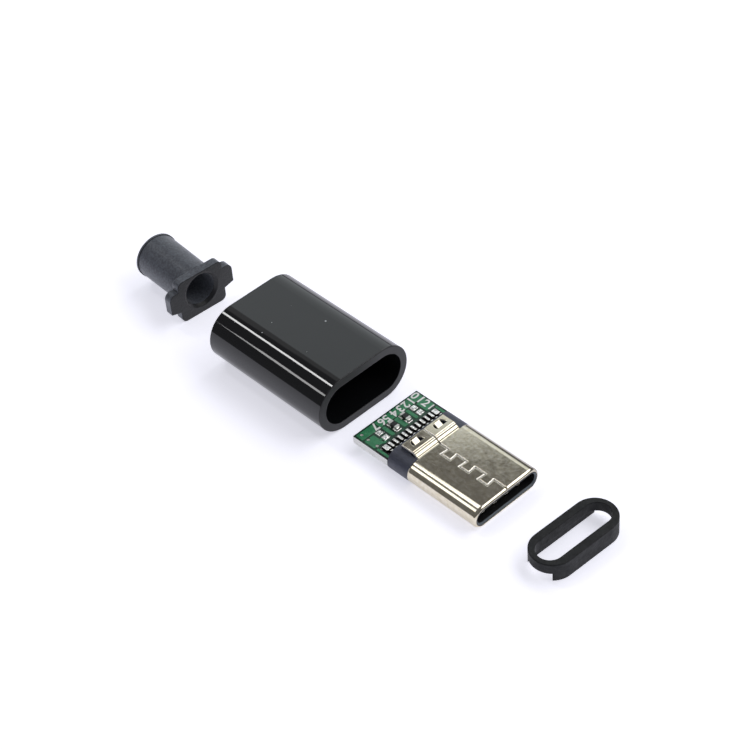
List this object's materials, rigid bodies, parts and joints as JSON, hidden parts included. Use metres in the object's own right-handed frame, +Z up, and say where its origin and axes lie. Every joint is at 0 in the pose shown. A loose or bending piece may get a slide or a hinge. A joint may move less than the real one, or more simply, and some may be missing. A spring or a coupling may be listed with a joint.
{
  "type": "usb-c plug",
  "caption": "USB-C cable plug taken apart for soldering: plated plug on its green board, black housing sleeve, front ring and cable boot in line.",
  "frame": {"origin": "on the surface the pieces lie on, under the middle of their overall box", "axes": "+X towards the plug's mating end, +Z up, +Y completes the right-handed frame"},
  "size_m": [0.0579, 0.0112, 0.006],
  "materials": {
    "boot_rubber": "matt",
    "gloss_black": "gloss",
    "matt_black": "matt",
    "plated_steel": "nickel plated",
    "black_moulding": "satin",
    "spring_steel": "bright",
    "contact_plating": "gold at the tips, tinned at the tails",
    "green_laminate": "green solder mask",
    "chip_ceramic": "black glaze with metal caps",
    "solder": "bright tin"
  },
  "bodies": {
    "root": {"cable_boot": "boot_rubber", "cable_pads": "solder", "chip_solder": "solder", "circuit_board": "green_laminate", "contact_lower_1": "contact_plating", "contact_lower_10": "contact_plating", "contact_lower_11": "contact_plating", "contact_lower_12": "contact_plating", "contact_lower_2": "contact_plating", "contact_lower_3": "contact_plating", "contact_lower_4": "contact_plating", "contact_lower_5": "contact_plating", "contact_lower_6": "contact_plating", "contact_lower_7": "contact_plating", "contact_lower_8": "contact_plating", "contact_lower_9": "contact_plating", "contact_upper_1": "contact_plating", "contact_upper_10": "contact_plating", "contact_upper_11": "contact_plating", "contact_upper_12": "contact_plating", "contact_upper_2": "contact_plating", "contact_upper_3": "contact_plating", "contact_upper_4": "contact_plating", "contact_upper_5": "contact_plating", "contact_upper_6": "contact_plating", "contact_upper_7": "contact_plating", "contact_upper_8": "contact_plating", "contact_upper_9": "contact_plating", "front_moulding": "black_moulding", "front_ring": "matt_black", "housing_sleeve": "gloss_black", "latch_plate": "spring_steel", "plug_shell": "plated_steel", "rear_moulding": "black_moulding", "resistor_1": "chip_ceramic", "resistor_2": "chip_ceramic", "solder_lower": "solder", "solder_upper": "solder", "spring_lower": "spring_steel", "spring_upper": "spring_steel", "tinned_pads": "solder"}
  },
  "joints": []
}
